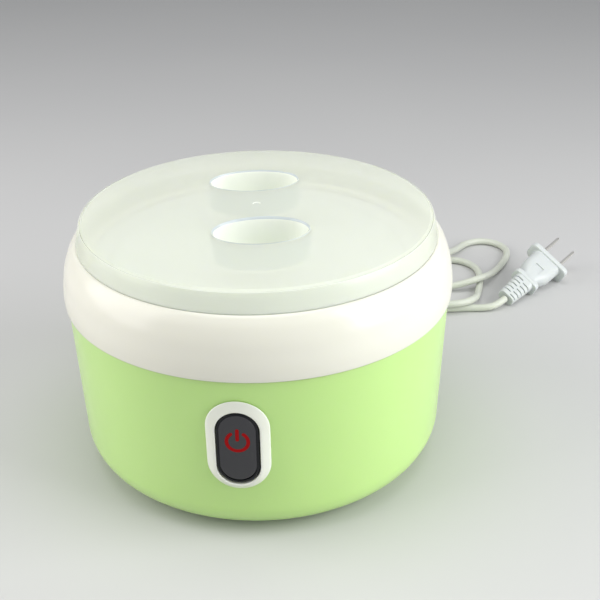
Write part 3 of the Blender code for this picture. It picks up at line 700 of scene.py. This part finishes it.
def base_screws():
    outline = [
        (0, 0.25), (1.6, 0.27), (2.2, 0.42), (2.55, 0.85), (2.6, 1.4), (1.3, 1.4), (1.3, 9.4),
        (0.4, 10.4), (0, 10.5),
    ]
    arm, reach = 0.32, 1.6  # half an arm's width and the reach of the cross in a screw's head
    cross = [
        (arm, arm), (arm, reach), (-arm, reach), (-arm, arm), (-reach, arm), (-reach, -arm),
        (-arm, -arm), (-arm, -reach), (arm, -reach), (arm, -arm), (reach, -arm), (reach, arm),
    ]
    for i, (x, y) in enumerate(around(SCREW_CIRCLE, 45), 1):
        made = lathe(
            f"base_screw_{i}_visual", outline, "screw_steel", "base", f"base_screw_{i}", sides=40,
            place=Matrix.Translation((x * MM, y * MM, 0)),
        )
        recess = [[(x + u, y + v, z) for u, v in cross] for z in (-0.6, 0.95)]
        carve(made, [("DIFFERENCE", loft("recess_cut", recess))])


def gland():
    outline = rounded_outline([
        (5.4, 77.4, 0.3), (5.4, 79.4, 0.3), (3.9, 79.4, 0.2), (3.9, 85.0, 0.2), (6.0, 85.0, 0.3),
        (6.0, 86.7, 0.6), (4.5, 87.3, 0.6), (4.15, 91.0, 0.2), (3.5, 91.0, 0.2), (3.45, 92.4, 0.2),
        (4.0, 92.4, 0.2), (3.8, 95.2, 0.2), (3.2, 95.2, 0.2), (3.15, 96.6, 0.2), (3.7, 96.6, 0.2),
        (3.5, 99.4, 0.2), (2.95, 99.4, 0.2), (2.9, 100.8, 0.2), (3.4, 100.8, 0.2),
        (3.0, 105.7, 0.5),
    ], 3)
    lathe(
        "gland_visual", [(0, 77.4)] + outline + [(0, 105.7)], "lead_sheath", "base",
        "cord_strain_relief", sides=64, place=along_y(GLAND_Z),
    )


# Switch: bezel, cap, face and symbol

SYMBOL_RING = (3.7, 5.15, 36.0)  # inner and outer radius, and half its gap in degrees
BAR_HALF, BAR_SPAN = 0.74, (0.2, 6.1)  # half its bar's width, and the bar's ends above its middle
SYMBOL_GAP = 0.03  # between the symbol and its openings in the face


def on_shell(width, height, gap=0.3, centre_z=SWITCH_Z):
    """A slot-shaped ring lying just off the body's tapered wall."""
    ring = []
    for x, z in slot_points(width, height):
        radius = wall_r(centre_z + z) + gap
        ring.append((x, -math.sqrt(radius * radius - x * x), centre_z + z))
    return ring


def bezel_ring(width, rise):
    """A ring of the bezel's crowned front, part of the way from its edge to its opening."""
    share = (BEZEL_SIZE[0] - width) / (BEZEL_SIZE[0] - MOUTH_SIZE[0])
    height = BEZEL_SIZE[1] + (MOUTH_SIZE[1] - BEZEL_SIZE[1]) * share
    ring = on_shell(width, height, 0.6, SWITCH_Z + 0.7 - 0.9 * share)
    return [(x, y + (BEZEL_CREST_Y - y) * rise, z) for x, y, z in ring]


def bezel():
    back_z, mouth_z = 50.1, SWITCH_Z - 0.2
    rings = [on_shell(26.0, 43.4, 0.3, back_z), on_shell(*BEZEL_SIZE, 0.6, back_z)]
    rings += [bezel_ring(width, rise) for width, rise in (
        (26.4, 0.04), (26.22, 0.16), (25.8, 0.25), (24.8, 0.38), (23.6, 0.53), (22.3, 0.69),
        (21.0, 0.84), (19.9, 0.95), (19.2, 1.0), (18.8, 1.0), (18.5, 0.95),
    )]
    rings += [
        slot_ring(18.28, 35.18, -87.6, mouth_z), slot_ring(*MOUTH_SIZE, -87.3, mouth_z),
        slot_ring(*MOUTH_SIZE, -76.0, mouth_z), slot_ring(21.8, 39.2, -76.0), on_shell(21.8, 39.2),
    ]
    loft("bezel_visual", rings, "bezel_white", "base", "switch_bezel", loop=True, angle=38)


def disc(radius, y, sides=64):
    """A circle round the symbol's middle."""
    turns = [math.tau * i / sides for i in range(sides)]
    return [(radius * math.cos(t), y, SYMBOL_Z + radius * math.sin(t)) for t in turns]


def end_cap(middle, turn, half, start, steps=10):
    """The points of a half-round end at an angle round the ring, without its two corners."""
    turns = [turn + start + math.pi * i / steps for i in range(1, steps)]
    return [
        (middle * math.cos(turn) + half * math.cos(t), middle * math.sin(turn) + half * math.sin(t))
        for t in turns
    ]


def symbol_ring(front, back, grow=0.0, steps=72):
    """The symbol's ring, open at the top with round ends, made bigger all round by grow."""
    inner, outer, half_gap = SYMBOL_RING
    middle, half = (inner + outer) / 2, (outer - inner) / 2 + grow
    first, last = math.radians(90 + half_gap), math.radians(450 - half_gap)
    turns = [first + (last - first) * i / steps for i in range(steps + 1)]
    points = [((middle + half) * math.cos(t), (middle + half) * math.sin(t)) for t in turns]
    points += end_cap(middle, last, half, 0.0)
    turns.reverse()
    points += [((middle - half) * math.cos(t), (middle - half) * math.sin(t)) for t in turns]
    points += end_cap(middle, first, half, math.pi)
    return [[(x, y, SYMBOL_Z + z) for x, z in points] for y in (front, back)]


def symbol_bar(front, back, grow=0.0, steps=10):
    """The symbol's upright bar with round ends, made bigger all round by grow."""
    low, high = BAR_SPAN
    half = BAR_HALF + grow
    points = []
    for start, level in ((0.0, high - BAR_HALF), (math.pi, low + BAR_HALF)):
        for i in range(steps + 1):
            t = start + math.pi * i / steps
            points.append((half * math.cos(t), level + half * math.sin(t)))
    return [[(x, y, SYMBOL_Z + z) for x, z in points] for y in (front, back)]


def button_cap():
    rings = [
        slot_ring(16.2, 32.9, -87.95), slot_ring(16.9, 33.5, -87.85),
        slot_ring(17.4, 33.95, -87.55), slot_ring(17.6, 34.1, -87.1), slot_ring(17.6, 34.1, -80.0),
    ]
    cap = loft("cap_visual", rings, "button_black", "button", "power_button", angle=38)
    recess = [slot_ring(15.3, 31.5, -88.6), slot_ring(15.3, 31.5, -87.1)]
    carve(cap, [
        ("DIFFERENCE", loft("recess_cut", recess)),
        ("DIFFERENCE", loft("pocket_cut", [disc(6.6, -87.6), disc(6.6, -86.0)])),
        ("DIFFERENCE", loft("lamp_cut", [disc(2.2, -86.5), disc(2.2, -78.0)])),
    ], 38)


def button_face():
    rings = [
        slot_ring(14.6, 30.6, -88.2, FACE_Z), slot_ring(14.95, 30.95, -88.15, FACE_Z),
        slot_ring(15.1, 31.1, -88.0, FACE_Z), slot_ring(15.1, 31.1, -87.4, FACE_Z),
    ]
    face = loft("face_visual", rings, "panel_grey", "button", "button_panel", angle=38)
    carve(face, [
        ("DIFFERENCE", loft("ring_cut", symbol_ring(-89.0, -86.9, SYMBOL_GAP))),
        ("DIFFERENCE", loft("bar_cut", symbol_bar(-89.0, -86.9, SYMBOL_GAP))),
    ], 38)


def power_symbol():
    plate = [disc(6.3, -87.1), disc(6.3, -86.3)]
    mark = loft("symbol_visual", plate, "symbol_red", "button", "power_symbol")
    carve(mark, [
        ("UNION", loft("ring_add", symbol_ring(-88.22, -86.7))),
        ("UNION", loft("bar_add", symbol_bar(-88.22, -86.7))),
    ])


# Lead and plug

def plug_point(t, s, n):
    """A point at t along the plug from its face, s across it and n off its middle plane."""
    level = Vector((PLUG_AXIS.y, -PLUG_AXIS.x, 0)).normalized()
    up = level.cross(PLUG_AXIS)
    across = math.cos(PLUG_ROLL) * level - math.sin(PLUG_ROLL) * up
    flat = math.sin(PLUG_ROLL) * level + math.cos(PLUG_ROLL) * up
    return PLUG_FACE + t * PLUG_AXIS + s * across + n * flat


def plug_section(t, width, height, radius, steps=8):
    """A rounded rectangle across the plug."""
    points = []
    for k, (sx, sy) in enumerate(((1, 1), (-1, 1), (-1, -1), (1, -1))):
        for i in range(steps + 1):
            turn = math.radians(90 * k + 90 * i / steps)
            x = sx * (width / 2 - radius) + radius * math.cos(turn)
            points.append(plug_point(t, x, sy * (height / 2 - radius) + radius * math.sin(turn)))
    return points


def plug_box(bm, t, s, n):
    """Add a box between the two values of t, s and n."""
    corners = [(s[0], n[0]), (s[1], n[0]), (s[1], n[1]), (s[0], n[1])]
    add_loft(bm, [[plug_point(at, a, b) for a, b in corners] for at in t])


def plug():
    sections = [
        (0, 26.6, 9.6, 3.0), (-0.15, 27.4, 10.4, 3.2), (-0.5, 28.0, 11.0, 3.4),
        (-1.0, 28.2, 11.2, 3.5), (-3.3, 28.2, 11.2, 3.5), (-3.7, 27.9, 10.9, 3.4),
        (-3.9, 27.3, 10.3, 3.2), (-4.0, 21.2, 9.6, 4.4), (-4.4, 20.2, 10.2, 4.8),
        (-7, 19.9, 10.7, 5.0), (-11, 19.9, 10.9, 5.0), (-14, 19.8, 10.9, 5.0),
        (-16.5, 19.3, 10.9, 5.0), (-18.5, 18.5, 10.7, 4.9), (-20.3, 17.2, 10.2, 4.8),
        (-21.8, 15.7, 9.7, 4.5), (-23.0, 14.2, 9.2, 4.2), (-24.1, 13.1, 8.8, 4.0),
        (-25.3, 12.6, 8.6, 3.9), (-26.3, 12.5, 8.6, 3.9), (-26.5, 13.2, 8.8, 3.6),
        (-26.6, 16.6, 8.9, 2.8), (-26.8, 17.3, 9.2, 2.9), (-27.2, 17.6, 9.5, 3.0),
        (-29.3, 17.6, 9.5, 3.0), (-29.7, 17.3, 9.2, 2.9), (-29.9, 16.6, 8.8, 2.8),
        (-30.0, 13.0, 8.7, 3.0), (-30.3, 12.6, 8.6, 3.0), (-48.9, 10.7, 7.2, 3.0),
        (-49.4, 10.4, 6.9, 2.9), (-49.7, 9.8, 6.4, 2.8),
    ]
    body = loft(
        "plug_visual", [plug_section(*row) for row in sections], "plug_white", "base", "plug_body",
        angle=34,
    )
    sockets, slots = bmesh.new(), bmesh.new()
    plug_box(slots, (-20.8, -14.7), (-3.4, 2.8), (4.85, 8.0))
    for side in (-1, 1):
        middle = side * PIN_SPACING / 2
        plug_box(sockets, (-7.6, 2.0), (middle - 1.05, middle + 1.05), (-3.45, 3.45))
        for row in range(5):
            at = -32.9 - 3.4 * row - (1.7 if side > 0 else 0)
            for n in ((1.9, 7.0), (-7.0, -1.9)):
                plug_box(slots, (at - 0.45, at + 0.45), sorted((side * 0.6, side * 8.0)), n)
    carve(body, [
        ("DIFFERENCE", put("socket_cut", sockets)),
        ("DIFFERENCE", put("slot_cut", slots)),
    ], 34)


def pin_section(t, middle, s, n):
    """A flat pin's outline with bevelled edges: s is half its thickness and n half its width."""
    flat, tall = s * 0.6, n * 0.93
    outline = [
        (-flat, -n), (flat, -n), (s, -tall), (s, tall), (flat, n), (-flat, n), (-s, tall),
        (-s, -tall),
    ]
    return [plug_point(t, middle + a, b) for a, b in outline]


def pins():
    sections = [
        (-7.2, 0.75, 3.15), (16.5, 0.75, 3.15), (18.0, 0.72, 3.1), (18.9, 0.58, 2.8),
        (19.4, 0.36, 2.2),
    ]
    for name, side in (("plug_pin_1", -1), ("plug_pin_2", 1)):
        rings = [pin_section(t, side * PIN_SPACING / 2, s, n) for t, s, n in sections]
        loft(name + "_visual", rings, "pin_metal", "base", name, angle=24)


def lead():
    line = spline(ROUTE, 3.2)
    line[:, 2] = np.maximum(line[:, 2], CORD_R + 0.05)
    curve = bpy.data.curves.new("power_cord_visual", "CURVE")
    curve.dimensions = "3D"
    curve.bevel_depth = CORD_R * MM
    curve.bevel_resolution = 6
    curve.use_fill_caps = True
    made = curve.splines.new("POLY")
    made.points.add(len(line) - 1)
    for point, at in zip(made.points, line):
        point.co = (at[0] * MM, at[1] * MM, at[2] * MM, 1.0)
    made.use_smooth = True
    curve.materials.append(MATERIALS["lead_sheath"])
    obj = bpy.data.objects.new("power_cord_visual", curve)
    bpy.context.scene.collection.objects.link(obj)
    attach(obj, "base")
    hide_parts("power_cord")


# Studio

def area_light(name, place, aim, size, power, colour=(1, 1, 1)):
    data = bpy.data.lights.new(name, "AREA")
    data.shape = "RECTANGLE"
    data.size, data.size_y = size
    data.energy = power
    data.color = colour
    obj = bpy.data.objects.new(name, data)
    bpy.context.scene.collection.objects.link(obj)
    obj.location = place
    obj.rotation_euler = (Vector(aim) - Vector(place)).to_track_quat("-Z", "Y").to_euler()


def studio():
    bm = bmesh.new()
    bmesh.ops.create_grid(bm, x_segments=1, y_segments=1, size=3.0)
    floor = put("studio_floor", bm)
    made, tree, shader = material("pale_floor")
    vary_colour(tree, shader, (0.53, 0.53, 0.53), (0.57, 0.57, 0.56), 3.0)
    shader.inputs["Roughness"].default_value = 0.6
    floor.data.materials.append(made)
    area_light(
        "right_box", (0.77, -0.20, 0.40), (0.0, 0.0, 0.06), (0.6, 0.7), 7.4, (0.99, 0.995, 1.0),
    )
    area_light(
        "left_box", (-0.78, -0.17, 0.42), (0.0, 0.0, 0.06), (0.8, 0.8), 5.8, (1.0, 0.97, 0.965),
    )
    area_light("top_box", (0.0, -0.08, 1.0), (0.0, 0.0, 0.1), (0.8, 0.7), 3.9)
    world = bpy.data.worlds.new("studio_world")
    world.use_nodes = True
    world.node_tree.nodes["Background"].inputs["Color"].default_value = (0.9, 0.92, 0.95, 1)
    world.node_tree.nodes["Background"].inputs["Strength"].default_value = 0.41
    bpy.context.scene.world = world
    bpy.context.scene.view_settings.view_transform = "Standard"


body_shell()
collar()
outer_lid()
chamber()
inner_pot()
pot_lid()
base_cover()
feet()
base_screws()
gland()
bezel()
button_cap()
button_face()
power_symbol()
plug()
pins()
lead()
for name, obj in NODES.items():
    if not obj.hide_render:
        for place in obj.material_slots:
            place.material = MATERIALS[SLOTS[name]]
studio()
